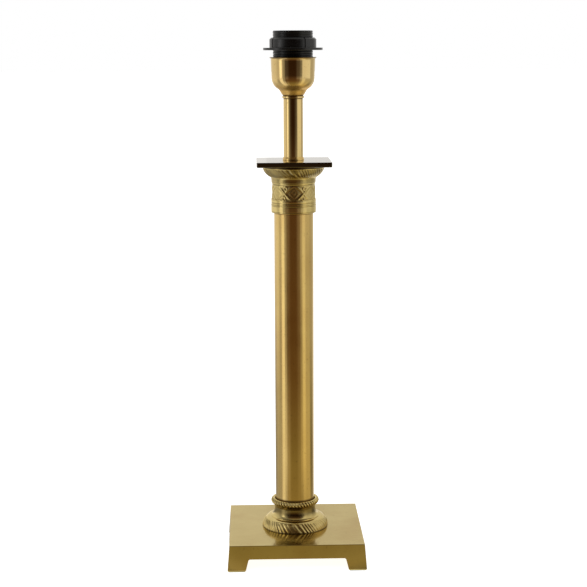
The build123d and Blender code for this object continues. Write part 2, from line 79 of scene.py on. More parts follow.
# ---------------------------------------------------------------- outlines
def arc(centre, run, rise, start, end, steps=12):
    """Points along an ellipse round centre, from start to end degrees."""
    angles = [radians(start + (end - start) * step / steps) for step in range(steps + 1)]
    return [(centre[0] + run * cos(angle), centre[1] + rise * sin(angle)) for angle in angles]


def eased(corners):
    """A closed outline with its corners rounded. Each corner is (radius, height, ease); ease 0 keeps it sharp.

    A short straight run before and after each rounding holds the shading of the flat parts.
    """
    steps, hold, most = 4, 0.12, 0.45
    points = []
    for index, (radius, height, ease) in enumerate(corners):
        here = Vector((radius, height))
        before = Vector(corners[index - 1][:2]) - here
        after = Vector(corners[(index + 1) % len(corners)][:2]) - here
        if ease == 0:
            points.append((radius, height))
            continue
        half = before.angle(after) / 2
        back = min(ease / tan(half), most * before.length, most * after.length)
        before.normalize()
        after.normalize()
        start = here + before * back
        end = here + after * back
        room = min(hold, back)
        points.append(tuple(start + before * room))
        for step in range(steps + 1):
            share = step / steps
            corner = (1 - share) ** 2 * start + 2 * share * (1 - share) * here + share**2 * end
            points.append(tuple(corner))
        points.append(tuple(end + after * room))
    return points


def bowed(start, end, belly, steps):
    """Points from start to end along a shallow bow that swells by belly on its right side."""
    run, rise = end[0] - start[0], end[1] - start[1]
    points = []
    for step in range(steps + 1):
        share = step / steps
        bulge = 4 * belly * share * (1 - share) / hypot(run, rise)
        points.append((start[0] + run * share + bulge * rise, start[1] + rise * share - bulge * run))
    return points


def dense(points, step):
    """The same outline cut into stretches of about step."""
    result = [points[0]]
    for (r0, z0), (r1, z1) in zip(points, points[1:]):
        parts = max(1, round(hypot(r1 - r0, z1 - z0) / step))
        for part in range(1, parts + 1):
            share = part / parts
            result.append((r0 + (r1 - r0) * share, z0 + (z1 - z0) * share))
    return result


# ---------------------------------------------------------------- meshes
def new_object(name, data):
    """A mesh, light or camera put in the scene."""
    obj = bpy.data.objects.new(name, data)
    bpy.context.scene.collection.objects.link(obj)
    return obj


def grid_mesh(name, points):
    """A smooth mesh from a (rows, around, 3) grid in millimetres that closes both ways."""
    rows, around = points.shape[:2]
    row = np.arange(rows)[:, None]
    column = np.arange(around)[None, :]
    above = (row + 1) % rows
    beside = (column + 1) % around
    corners = (row * around + column, row * around + beside, above * around + beside, above * around + column)
    faces = np.stack(np.broadcast_arrays(*corners), axis=-1).reshape(-1, 4)
    mesh = bpy.data.meshes.new(name)
    mesh.from_pydata((points.reshape(-1, 3) * MM).tolist(), [], faces.tolist())
    mesh.polygons.foreach_set("use_smooth", [True] * len(mesh.polygons))
    mesh.update()
    return mesh


def turned(name, outline, around, relief=None):
    """A turned piece from a closed outline, counter-clockwise with radius to the right and height up.

    relief(radius, height, angle) gives how far each point stands out, in millimetres, how dark it is painted for shade
    and tarnish and, if it has a third value, how satin it is, both from 0 to 1.
    """
    outline = np.array(outline, float)
    tangent = np.roll(outline, -1, axis=0) - np.roll(outline, 1, axis=0)
    tangent /= np.maximum(np.linalg.norm(tangent, axis=1, keepdims=True), 1e-9)
    angle = np.arange(around)[None, :] * 2 * pi / around
    radius = np.repeat(outline[:, :1], around, axis=1)
    height = np.repeat(outline[:, 1:], around, axis=1)
    shade_and_tarnish = satin = np.zeros_like(radius)
    if relief:
        out, shade_and_tarnish, *rest = relief(radius, height, angle + 0 * radius)
        satin = rest[0] if rest else satin
        radius = radius + out * tangent[:, 1:]
        height = height - out * tangent[:, :1]
    points = np.stack((radius * np.cos(angle), radius * np.sin(angle), height), axis=-1)
    mesh = grid_mesh(name, points)
    for kind, values in (("shade_and_tarnish", shade_and_tarnish), ("satin", satin)):
        mesh.attributes.new(kind, "FLOAT", "POINT").data.foreach_set("value", values.astype(np.float32).ravel())
    return new_object(name, mesh)


def hardened(name, work):
    """A new object from work. Its wide faces keep their direction, so only the edges between them are shaded round."""
    for face in work.faces:
        face.smooth = True
    mesh = bpy.data.meshes.new(name)
    work.to_mesh(mesh)
    work.free()
    mesh.set_sharp_from_angle(angle=SHARP_ANGLE)
    obj = new_object(name, mesh)
    modifier = obj.modifiers.new("normals", "WEIGHTED_NORMAL")
    modifier.weight = 100
    modifier.keep_sharp = True
    settled = bpy.data.meshes.new_from_object(obj.evaluated_get(bpy.context.evaluated_depsgraph_get()))
    obj.modifiers.clear()
    obj.data = settled
    return obj


def squares(name, middles, side, corner, levels, hole=0.0):
    """Rounded square slabs, one round each middle; levels gives (inset, height) from the underside up."""
    steps, least_ease = 6, 0.15
    work = bmesh.new()
    for middle_x, middle_y in middles:
        loops = []
        for inset, height in levels:
            half = side / 2 - inset
            ease = max(corner - inset, least_ease)
            loop = []
            for turn, (sign_x, sign_y) in enumerate(((1, 1), (-1, 1), (-1, -1), (1, -1))):
                for step in range(steps + 1):
                    angle = radians(90 * turn + 90 / steps * step)
                    x = middle_x + sign_x * (half - ease) + ease * cos(angle)
                    y = middle_y + sign_y * (half - ease) + ease * sin(angle)
                    loop.append(work.verts.new((x * MM, y * MM, height * MM)))
            loops.append(loop)
        if hole:
            # the hole's wall goes first and last, with as many points as the outside has
            count = len(loops[0])
            for position, height in ((0, levels[0][1]), (len(loops) + 1, levels[-1][1])):
                wall = []
                for index in range(count):
                    angle = 2 * pi * (index - steps / 2) / count + pi / 4
                    wall.append(work.verts.new((hole * cos(angle) * MM, hole * sin(angle) * MM, height * MM)))
                loops.insert(position, wall)
            loops.append(loops[0])
        for below, above in zip(loops, loops[1:]):
            for index in range(len(below)):
                after = (index + 1) % len(below)
                work.faces.new((below[index], below[after], above[after], above[index]))
        if not hole:
            work.faces.new(list(reversed(loops[0])))
            work.faces.new(loops[-1])
    return hardened(name, work)


def softened(name, node, edge):
    """A copy of a CAD node's form with its edges rounded off; edge is the width of the rounding in millimetres."""
    flat, bent = radians(1), radians(30)
    work = bmesh.new()
    work.from_mesh(frame["nodes"][node].data)
    bmesh.ops.remove_doubles(work, verts=work.verts, dist=1e-6)
    bmesh.ops.dissolve_limit(work, angle_limit=flat, verts=work.verts, edges=work.edges)
    sharp = [e for e in work.edges if e.is_manifold and e.calc_face_angle(0) > bent]
    bmesh.ops.bevel(
        work, geom=sharp, offset=edge * MM, segments=3, profile=0.5, affect="EDGES", clamp_overlap=True
    )
    bmesh.ops.triangulate(work, faces=[f for f in work.faces if len(f.verts) > 4])
    return hardened(name, work)


# ---------------------------------------------------------------- shader helpers
def add(tree, kind, values=None, links=None, **settings):
    """A new node; values and links go to its inputs, and settings to the node itself."""
    node = tree.nodes.new(kind)
    for key, value in settings.items():
        setattr(node, key, value)
    for key, value in (values or {}).items():
        node.inputs[key].default_value = value
    for key, source in (links or {}).items():
        tree.links.new(source, node.inputs[key])
    return node


def start_material(name):
    """An empty material with its output node."""
    material = bpy.data.materials.new(name)
    material.use_nodes = True
    tree = material.node_tree
    tree.nodes.clear()
    output = add(tree, "ShaderNodeOutputMaterial")
    return material, tree, output


def principled(tree, output, values, links):
    """The shader of an object's surface."""
    shader = add(tree, "ShaderNodeBsdfPrincipled", values, links)
    tree.links.new(shader.outputs["BSDF"], output.inputs["Surface"])


def place(tree, stretch=(1, 1, 1)):
    """Object coordinates, in metres, stretched for a texture."""
    source = add(tree, "ShaderNodeTexCoord").outputs["Object"]
    return add(tree, "ShaderNodeMapping", {"Scale": stretch}, {"Vector": source}).outputs["Vector"]


def noise(tree, vector, scale, detail=3.0, roughness=0.55):
    """Noise from 0 to 1 at a place."""
    values = {"Scale": scale, "Detail": detail, "Roughness": roughness}
    return add(tree, "ShaderNodeTexNoise", values, {"Vector": vector}).outputs["Fac"]


def remap(tree, value, from_low, from_high, to_low, to_high):
    """A socket's value moved from one range to another and held within it."""
    values = {"From Min": from_low, "From Max": from_high, "To Min": to_low, "To Max": to_high}
    return add(tree, "ShaderNodeMapRange", values, {"Value": value}).outputs["Result"]


def mix(tree, factor, first, second):
    """A blend of two colours; each is a colour or a socket."""
    node = add(tree, "ShaderNodeMixRGB")
    tree.links.new(factor, node.inputs["Fac"])
    for key, source in (("Color1", first), ("Color2", second)):
        if isinstance(source, tuple):
            node.inputs[key].default_value = (*source, 1)
        else:
            tree.links.new(source, node.inputs[key])
    return node.outputs["Color"]


def scaled(tree, source, share):
    """A share of a socket's value."""
    return add(tree, "ShaderNodeMath", {1: share}, {0: source}, operation="MULTIPLY").outputs[0]


def attribute(tree, name, output="Fac"):
    """What a mesh has stored under a name at each point."""
    return add(tree, "ShaderNodeAttribute", attribute_name=name).outputs[output]


def bump(tree, height, distance, normal=None):
    """A fine relief of the given height in metres, over another one if its normal is given."""
    links = {"Height": height}
    if normal:
        links["Normal"] = normal
    return add(tree, "ShaderNodeBump", {"Distance": distance, "Strength": 1.0}, links).outputs["Normal"]


# ---------------------------------------------------------------- materials
def brass(name, clean, dull, dark, rough, lacquer, streak=(1, 1, 1), worn=0.5, reflection_tint=None):
    """Aged, lacquered brass: clean and dull patches, painted shade and tarnish darkening what the mesh marks, a rubbed
    grain, and, where a tint is given, a painted warm reflection where it is satin.

    streak stretches the rubbed grain, and worn says how far the patches and stains go.
    """
    stain = tuple(part * share for part, share in zip(dull, (0.92, 0.78, 0.70)))
    grain_height = 0.000004
    material, tree, output = start_material(name)
    here = place(tree)
    patches = remap(tree, noise(tree, here, 28.0, 4.0), 0.35, 0.68, 0.0, worn)
    colour = mix(tree, patches, clean, dull)
    stains = remap(tree, noise(tree, place(tree, (1, 1, 0.4)), 24.0, 3.0), 0.50, 0.72, 0.0, 0.8 * worn)
    colour = mix(tree, stains, colour, stain)
    specks = remap(tree, noise(tree, here, 420.0, 3.0), 0.62, 0.78, 0.0, 0.35)
    colour = mix(tree, specks, colour, dark)
    satin = attribute(tree, "satin")
    # the tint is a painted warm reflection, mixed in where the piece is satin
    if reflection_tint:
        colour = mix(tree, satin, colour, reflection_tint)
    shade_and_tarnish = attribute(tree, "shade_and_tarnish")
    # painted shade, with tarnish, darkens the colour where the mesh is marked
    colour = mix(tree, scaled(tree, shade_and_tarnish, 0.94), colour, dark)
    streaks = noise(tree, place(tree, streak), 700.0, 2.0, 0.5)
    smears = noise(tree, here, 60.0, 3.0)
    roughness = remap(tree, smears, 0.3, 0.7, rough * 0.8, rough * 1.25)
    for source, share in ((streaks, 0.04), (shade_and_tarnish, 0.07), (satin, 0.30)):
        total = add(tree, "ShaderNodeMath", {1: share}, {0: source, 2: roughness}, operation="MULTIPLY_ADD")
        roughness = total.outputs[0]
    constants = {
        "Metallic": 1.0,
        "Specular Tint": (1.0, 0.95, 0.82, 1.0),
        "Coat Weight": lacquer,
        "Coat Roughness": 0.08,
        "Coat IOR": 1.5,
    }
    links = {"Base Color": colour, "Roughness": roughness, "Normal": bump(tree, streaks, grain_height)}
    principled(tree, output, constants, links)
    return material


def plated(name, colour, rough):
    """Plated or plain metal with a fine, uneven grain."""
    material, tree, output = start_material(name)
    here = place(tree)
    tarnish = tuple(0.55 * part for part in colour)
    grain_height = 0.00001
    shade = mix(tree, remap(tree, noise(tree, here, 160.0, 4.0), 0.4, 0.7, 0.0, 0.6), colour, tarnish)
    grain = noise(tree, here, 1500.0, 2.0)
    roughness = remap(tree, grain, 0.3, 0.7, rough * 0.8, rough * 1.3)
    links = {"Base Color": shade, "Roughness": roughness, "Normal": bump(tree, grain, grain_height)}
    principled(tree, output, {"Metallic": 1.0}, links)
    return material


def moulding(name, colour, pale, rough, gloss=0.5):
    """Moulded plastic or ceramic: an uneven tone and a fine skin."""
    skin_height = 0.00002
    material, tree, output = start_material(name)
    here = place(tree)
    shade = mix(tree, remap(tree, noise(tree, here, 90.0, 4.0), 0.35, 0.7, 0.0, 0.6), colour, pale)
    skin = noise(tree, here, 2200.0, 3.0)
    roughness = remap(tree, noise(tree, here, 300.0, 3.0), 0.3, 0.7, rough * 0.85, rough * 1.2)
    links = {"Base Color": shade, "Roughness": roughness, "Normal": bump(tree, skin, skin_height)}
    principled(tree, output, {"IOR": 1.5, "Specular IOR Level": gloss}, links)
    return material


def felt(name, colour, fibre):
    """Pressed felt: matted fibres of two tones."""
    mat_height, hair_height = 0.0003, 0.0002
    material, tree, output = start_material(name)
    here = place(tree)
    mat = noise(tree, here, 1800.0, 5.0, 0.7)
    hairs = noise(tree, place(tree, (1, 4, 1)), 2500.0, 4.0, 0.7)
    shade = mix(tree, remap(tree, mat, 0.35, 0.65, 0.0, 1.0), colour, fibre)
    normal = bump(tree, hairs, hair_height, bump(tree, mat, mat_height))
    constants = {"Roughness": 0.95, "Sheen Weight": 0.35, "Sheen Roughness": 0.6, "Sheen Tint": (*fibre, 1)}
    principled(tree, output, constants, {"Base Color": shade, "Normal": normal})
    return material


# the grain of the tubes and the cup runs up them, and that of the base from side to side
rubbed_up, rubbed_across = (1, 1, 0.03), (0.05, 1, 1)
column_brass = brass(
    "column_brass", (0.68, 0.485, 0.170), (0.56, 0.38, 0.120), (0.08, 0.045, 0.016), 0.14, 0.4, rubbed_up
)
cast_brass = brass(
    "cast_brass", (0.68, 0.54, 0.22), (0.54, 0.42, 0.15), (0.055, 0.030, 0.007), 0.12, 0.15, worn=0.6
)
base_brass = brass(
    "base_brass", (0.60, 0.48, 0.20), (0.50, 0.38, 0.14), (0.12, 0.075, 0.03), 0.12, 0.1, rubbed_across
)
# a brighter copy of cast brass: painted light that lifts the tone of the column foot
brightened_foot_brass = brass(
    "brightened_foot_brass", (0.76, 0.60, 0.25), (0.60, 0.47, 0.17), (0.085, 0.052, 0.012), 0.12, 0.05, worn=0.6
)
spun_brass = brass(
    "spun_brass",
    (0.67, 0.49, 0.20),
    (0.57, 0.41, 0.16),
    (0.06, 0.026, 0.006),
    0.07,
    0.3,
    rubbed_up,
    worn=0.3,
    # painted warm reflection on the satin foot of the cup and on the collar
    reflection_tint=(0.86, 0.55, 0.16),
)
bronze = brass("bronze", (0.100, 0.088, 0.052), (0.070, 0.062, 0.038), (0.012, 0.010, 0.008), 0.07, 1.0)
steel = plated("steel", (0.62, 0.62, 0.60), 0.32)
bright_brass = plated("bright_brass", (0.76, 0.56, 0.24), 0.22)
black_plastic = moulding("black_plastic", (0.0025, 0.0025, 0.0028), (0.006, 0.006, 0.006), 0.27)
# a darker, less glossy copy of the black moulding: painted shade for the barrel under the shade ring's flange
shaded_thread_plastic = moulding("shaded_thread_plastic", (0.0020, 0.0020, 0.0022), (0.005, 0.005, 0.005), 0.24, gloss=0.32)
black_rubber = moulding("black_bush", (0.020, 0.020, 0.020), (0.035, 0.035, 0.035), 0.6)
white_ceramic = moulding("white_ceramic", (0.78, 0.75, 0.68), (0.66, 0.62, 0.55), 0.35)
green_felt = felt("dark_felt", (0.035, 0.042, 0.028), (0.075, 0.085, 0.055))

slot_materials = {
    "aged_brass": column_brass,
    "cast_brass": cast_brass,
    "dark_bronze": bronze,
    "plated_steel": steel,
    "contact_brass": bright_brass,
    "black_moulding": black_plastic,
    "black_bush": black_rubber,
    "white_insert": white_ceramic,
    "dark_felt": green_felt,
}
node_slots = {part["node"]: part["material_slot"] for part in frame["record"]["subparts"]}
for node, obj in frame["nodes"].items():
    obj.data.materials.clear()
    obj.data.materials.append(slot_materials[node_slots[node]])


def finished(obj, node, body="lamp", material=None):
    """obj stands for a CAD node and rides on its body. It takes the node's material, or the one that is given."""
    obj.data.materials.append(material or slot_materials[node_slots[node]])
    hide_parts(node)
    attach(obj, body)


# ---------------------------------------------------------------- ornament
def window(value, start, end, soft):
    """1 between start and end, falling to 0 over soft at both ends."""
    rise = np.clip((value - start) / soft + 0.5, 0, 1)
    fall = np.clip((end - value) / soft + 0.5, 0, 1)
    return rise * rise * (3 - 2 * rise) * fall * fall * (3 - 2 * fall)


def ridge(distance, width):
    """A soft ridge, 1 along its middle."""
    return np.exp(-((distance / width) ** 2))


def slanting_leaves(angle, share, depth):
    """Relief of the leaf mouldings at share 0 to 1 up the band: how far a point lies below the outline, and how dark it
    is painted, as shade and tarnish in its veins and gaps.

    Leaves of four kinds follow each other all round, with two to four veins of unequal strength.
    """
    leaf_count, leaf_turn, leaf_start, gap_width = 16, radians(17), 0.20, 0.12
    turns = (angle + leaf_turn * share) * leaf_count / (2 * pi) + leaf_start
    leaf = np.floor(turns)
    across = 2 * (turns - leaf) - 1
    kind = (leaf % 4).astype(int)
    vein_count = np.choose(kind, (2, 4, 4, 3))
    strength = np.choose(kind, (0.9, 0.95, 0.6, 0.8))
    wander = 0.8 * np.sin(5 * share + leaf)
    veins = 0.5 - 0.5 * np.cos(vein_count * pi * (across + 1) + wander)
    lobe = np.abs(across) ** 2.4
    gap = ridge(1 - np.abs(across), gap_width)
    drop = depth * (0.25 * lobe + 0.65 * strength * veins + 0.15 * gap)
    # painted shade, with tarnish, in the veins and in the gaps between the leaves
    shade_and_tarnish = np.clip(0.15 * gap + 0.75 * strength * veins**1.3, 0, 1)
    return drop, shade_and_tarnish


# ---------------------------------------------------------------- base
def build_base():
    """The cast base with its edges eased."""
    edge = 0.45
    finished(softened("base_casting", "base_plate", edge), "base_plate", material=base_brass)


def build_pads():
    """Four felt pads with soft edges."""
    floor, top = low("felt_pads"), high("felt_pads")
    side, corner = 17.1, 1.5
    middle = reach("felt_pads") - side / 2
    middles = [(x, y) for x in (-middle, middle) for y in (-middle, middle)]
    levels = [(0.25, floor), (0.05, floor + 0.1), (0.0, floor + 0.25), (0.0, top - 0.2), (0.2, top)]
    finished(squares("pads_felt", middles, side, corner, levels), "felt_pads")


# ---------------------------------------------------------------- column foot
def build_foot():
    """A cushion with leaves round its lower part, a hollow moulding, and a roped ring round the column."""
    floor, top = low("column_foot"), high("column_foot")
    cushion_root, cushion_side, cushion_rise = 25.2, 34.2, 11.0
    hollow_rise, waist = 9.0, 21.0
    ring_middle, ring_tube = 21.95, 2.9
    seat, web_low, web_high, inside = 20.0, floor + 14.8, floor + 18.8, 17.5
    leaf_depth, leaf_satin, rope_depth, rope_count, rope_slant = 1.0, 0.5, 0.80, 46, 2.6
    cushion_top = floor + cushion_rise
    hollow_low = cushion_top + 0.7
    ring_z = top - ring_tube
    cushion = arc((cushion_root, floor), cushion_side - cushion_root, cushion_rise, 0, 90, 48)
    hollow = arc((cushion_root, hollow_low + hollow_rise), cushion_root - waist, hollow_rise, 270, 180, 18)
    ring = arc((ring_middle, ring_z), ring_tube, ring_tube, -109, 96, 40)
    outline = [
        (inside, floor),
        *cushion,
        (cushion_root, cushion_top + 0.2),
        *hollow,
        *ring,
        (seat + 1.0, top - 0.5),
        (seat + 0.45, top - 1.4),
        (seat + 0.1, top - 2.6),
        (seat, web_high),
        (ROD_HOLE, web_high),
        (ROD_HOLE, web_low),
        (inside, web_low),
    ]

    def relief(radius, height, angle):
        share = np.degrees(np.arcsin(np.clip((height - floor) / cushion_rise, 0, 1))) / 90
        outer = (radius > cushion_root - 0.01) & (height < cushion_top + 0.01)
        drop, shade_and_tarnish = slanting_leaves(angle, share, leaf_depth)
        band = window(share, 0.03, 0.60, 0.16) * outer
        # a painted contact shadow along the foot of the cushion
        shadow_under_leaves = window(share, -0.1, 0.06, 0.08) * outer
        # the strokes of the rope lie slanting on the outer face of the ring
        tilt = np.arctan2(height - ring_z, radius - ring_middle)
        on_ring = (height > ring_z - ring_tube) & (radius > seat + 0.3)
        face = window(tilt, -0.8, 1.25, 0.4) * on_ring
        cut = (0.5 + 0.5 * np.cos(rope_count * angle + rope_slant * tilt)) ** 1.6 * face
        # painted shade in the gap where the column enters the ring
        entry_shade = (height > top - 4.0) & (radius < seat + 1.0)
        on_hollow = (radius < cushion_root - 0.6) & (radius > inside + 0.5)
        # tarnish and painted shade in the waist of the hollow moulding
        waist_tarnish_and_shade = window(height, hollow_low + 2.6, ring_z - 1.2, 4.0) * on_hollow
        out = -drop * band - rope_depth * cut
        # painted shade in the leaf veins, under the leaves, in the rope's grooves, at the column's entry and in the
        # waist, with tarnish in the veins and the waist
        shade = 0.50 * shade_and_tarnish * band + 0.8 * shadow_under_leaves + 0.60 * cut + 0.50 * entry_shade + 0.80 * waist_tarnish_and_shade
        return out, np.clip(shade, 0, 1), leaf_satin * band

    finished(turned("foot_casting", outline, CARVED_AROUND, relief), "column_foot", material=brightened_foot_brass)


# ---------------------------------------------------------------- column
def tube_rows(radius, wall, floor, top, ease, step, levels):
    """The outline of a tube, its outer and inner edges eased, with a row of points outside at each of the levels."""
    outer_ease, inner_ease = ease
    inner = radius - wall
    corners = [
        (inner, floor, inner_ease),
        (radius, floor, outer_ease),
        (radius, top, outer_ease),
        (inner, top, inner_ease),
    ]
    rows = dense(eased(corners), step)
    for level in levels:
        rows.insert(next(i for i, (r, z) in enumerate(rows) if r > radius - 0.01 and z > level), (radius, level))
    return rows


def build_column():
    """A polished tube, darkened where it enters the ring and the capital: tarnish and painted shade at the joints."""
    radius = reach("column_tube")
    wall = 1.5
    floor, top = low("column_tube"), high("column_tube")
    ring_top, capital_low = high("column_foot"), low("capital")
    levels = (ring_top, ring_top + 0.9, ring_top + 2.2, capital_low - 1.0, capital_low - 0.3)
    rows = tube_rows(radius, wall, floor, top, (0.3, 0.15), 12.0, levels)

    def relief(radius, height, angle):
        # tarnish and painted shade in a band above the ring and below the capital
        foot_shade_line = 0.9 * np.clip((ring_top + 2.2 - height) / 1.6, 0, 1)
        head_shade_line = 0.6 * np.clip((height - capital_low + 1.0) / 0.8, 0, 1)
        return 0 * height, foot_shade_line + head_shade_line

    finished(turned("column_shaft", rows, 160, relief), "column_tube")


# ---------------------------------------------------------------- capital
def scrollwork(angle, up, half, radius):
    """Low relief of two crossing vines, with a lozenge in each oval and a curled leaf at each crossing.

    up is the height over the middle of the border, half is half of its height, and one oval is in the middle in front.
    """
    ovals = 7
    pitch = 2 * pi * radius / ovals
    bend = 0.5 * ovals * (angle + pi / 2) + pi / 2
    vine = half * np.sin(bend)
    slope = np.sqrt(1 + (half * np.cos(bend) * 0.5 * ovals / radius) ** 2)
    steep = 0.35 + 0.65 * np.abs(np.cos(bend))
    lift = steep * np.maximum(ridge((up - vine) / slope, 1.1), 0.85 * ridge((up + vine) / slope, 1.0))
    around = (angle + pi / 2) * radius
    # distance along the drum from the middle of an oval, and from a crossing
    eye = around - pitch * np.round(around / pitch)
    knot = eye - pitch / 2 * np.where(eye < 0, -1, 1)
    # a faint lozenge with a small bud inside each oval
    lozenge = np.abs(eye) / 4.4 + np.abs(up) / (0.72 * half)
    lift = np.maximum(lift, 0.24 * ridge((lozenge - 1) * 3.0, 0.9))
    lift = np.maximum(lift, 0.35 * np.clip(1 - np.hypot(eye / 1.6, up / 2.6), 0, 1))
    # a curl and slanting strokes above and below each crossing
    for side in (-1, 1):
        rise = side * up - 0.70 * half
        curl = ridge(np.hypot(knot - side * 1.0, rise) - 1.6, 0.7)
        strokes = ridge(np.sin(1.1 * (knot + 0.8 * side * rise)), 0.6) * ridge(knot, 3.6) * ridge(rise, 2.4)
        lift = np.maximum(lift, np.maximum(0.7 * curl, 0.55 * strokes))
    return lift


def build_capital():
    """A lined band, a drum with scrollwork, a cove, a band of leaves and a set-back rim."""
    floor, top = low("capital"), high("capital")
    seat, ledge, opening = 20.0, top - 8.7, 14.0
    band, drum, crown, rim = 22.7, 21.9, 31.5, 30.3
    cove_root, cove_foot, cove_rise, leaf_rise, leaf_belly = 23.4, 22.4, 5.1, 9.7, 1.4
    drum_low = floor + 14.8
    drum_high = drum_low + 16.4
    cove_high = drum_high + cove_rise
    rim_low = cove_high + leaf_rise
    groove, wire = floor + 10.7, floor + 8.2
    cove = arc((cove_root, drum_high), cove_root - cove_foot, cove_rise, 180, 90, 12)
    echinus = bowed((cove_root, cove_high), (crown, rim_low), leaf_belly, 36)
    outside = [
        (band - 2.2, floor),
        (band - 0.25, floor + 0.62),
        (band, floor + 0.95),
        (band, drum_low - 0.25),
        (band - 0.25, drum_low),
        (drum, drum_low + 0.1),
        (drum, drum_high - 0.1),
        *cove,
        *echinus,
        (crown - 0.1, rim_low + 0.12),
        (rim, rim_low + 0.2),
        (rim, top - 0.15),
        (rim - 0.15, top),
    ]
    outline = [(seat, floor), *dense(outside, 0.34), (opening, top), (opening, ledge), (seat, ledge)]
    scroll_low, scroll_high = drum_low - 1.2, drum_high - 3.0
    middle, half = (scroll_low + scroll_high) / 2, (scroll_high - scroll_low) / 2
    # height, width and depth of each turned line, and below them the raised wires
    lines = (
        (groove, 0.35, 0.28),
        (wire + 0.7, 0.30, 0.18),
        (wire - 0.7, 0.30, 0.18),
        (floor + 1.6, 0.30, 0.22),
        (drum_high - 2.1, 0.50, 0.40),
    )
    wires, wire_width, wire_height = (drum_high - 0.8, wire), 0.5, 0.22
    scroll_height, ground_depth, scroll_satin, leaf_depth = 0.66, 0.40, 0.45, 0.75

    def relief(radius, height, angle):
        outer = radius > seat + 0.3
        on_drum = outer * window(height, scroll_low, scroll_high, 0.7)
        lift = scrollwork(angle, height - middle, half - 0.4, drum)
        out = (scroll_height * lift - ground_depth) * on_drum
        # painted shade, with tarnish, on the ground between the vines
        shade = 0.20 * (1 - lift) ** 1.3 * on_drum
        for level, width, depth in lines:
            line = ridge(height - level, width) * outer * (radius < band + 0.3)
            out = out - depth * line
            # painted shade in the turned lines
            shade = shade + 0.5 * line
        for level in wires:
            out = out + wire_height * ridge(height - level, wire_width) * outer * (radius < band + 0.05)
        swell = np.clip((height - cove_high) / leaf_rise, 0, 1)
        drop, shade_and_tarnish = slanting_leaves(angle, 0.9 * swell, leaf_depth)
        on_leaf = (height > cove_high) * window(swell, 0.08, 0.92, 0.10) * (radius > cove_foot + 0.4)
        in_cove = outer * window(height, drum_high - 0.2, cove_high - 1.0, 1.2) * (radius < cove_root - 0.1)
        on_rim = window(height, rim_low + 0.1, top + 1, 0.3) * (radius > rim - 1.3)
        out = out - drop * on_leaf
        # painted shade over the band of leaves, deeper in its veins, painted shade in the cove, and a painted shadow on
        # the rim under the top plate
        shade = shade + (0.40 + 0.6 * shade_and_tarnish) * on_leaf + 0.45 * in_cove + on_rim
        return out, np.clip(shade, 0, 1), scroll_satin * on_drum

    finished(turned("capital_casting", outline, CARVED_AROUND, relief), "capital")


def build_top_plate():
    """A square slab, well rounded below and hardly above, with a hole for the threaded tube."""
    floor, top = low("top_plate"), high("top_plate")
    side, corner = 2 * reach("top_plate"), 1.3
    under, over = 1.2, 0.25
    levels = [(under - r, floor + under + z) for r, z in arc((0, 0), under, under, -90, 0, 6)]
    levels += [(over - r, top - over + z) for r, z in arc((0, 0), over, over, 0, 90, 6)]
    finished(squares("top_slab", [(0, 0)], side, corner, levels, ROD_HOLE), "top_plate")


# ---------------------------------------------------------------- stem and cup
def build_stem():
    """A thin tube with a low collar at its foot and a rimmed ring in its top end."""
    floor, top = low("stem_tube"), high("stem_tube")
    radius, wall = reach("stem_tube"), 1.0
    rows = tube_rows(radius, wall, floor, top, (0.2, 0.1), 6.0, (top - 1.3, top - 0.5))

    def shaded_end(radius, height, angle):
        # painted shadow at the top of the tube, under the neck ring
        return 0 * height, 0.9 * np.clip((height - top + 1.2) / 0.7, 0, 1)

    finished(turned("stem_pipe", rows, 96, shaded_end), "stem_tube", material=spun_brass)

    ring_low, ring_high, ring_out = low("stem_ring"), high("stem_ring"), reach("stem_ring")
    corners = [
        (radius + 0.05, ring_low, 0.1),
        (ring_out, ring_low, 0.2),
        (ring_out, ring_low + 1.2, 0.8),
        (radius + 0.12, ring_high, 0.1),
        (radius + 0.05, ring_high, 0.0),
    ]

    def satin_all(radius, height, angle):
        # half satin: rougher, and half tinted with the painted warm reflection of spun brass
        return 0 * height, 0 * height, 0.5 + 0 * height

    finished(turned("stem_collar", eased(corners), 96, satin_all), "stem_ring", material=spun_brass)

    neck_low, neck_high, neck_out = low("neck_ring"), high("neck_ring"), reach("neck_ring")
    rim_low, rim_high = top, neck_high - 0.4
    spigot, step = radius - wall - 0.05, 10.1
    corners = [
        (ROD_HOLE, neck_low, 0.1),
        (spigot, neck_low, 0.3),
        (spigot, rim_low, 0.0),
        (neck_out, rim_low, 0.55),
        (neck_out, rim_high, 0.65),
        (step, rim_high, 0.0),
        (step, neck_high, 0.1),
        (ROD_HOLE, neck_high, 0.1),
    ]

    def shaded_step(radius, height, angle):
        # painted shade on the step under the cup
        return 0 * height, 0.95 * ((height > rim_high - 0.1) & (radius < neck_out - 0.5))

    finished(turned("neck_collar", eased(corners), 96, shaded_step), "neck_ring", material=spun_brass)


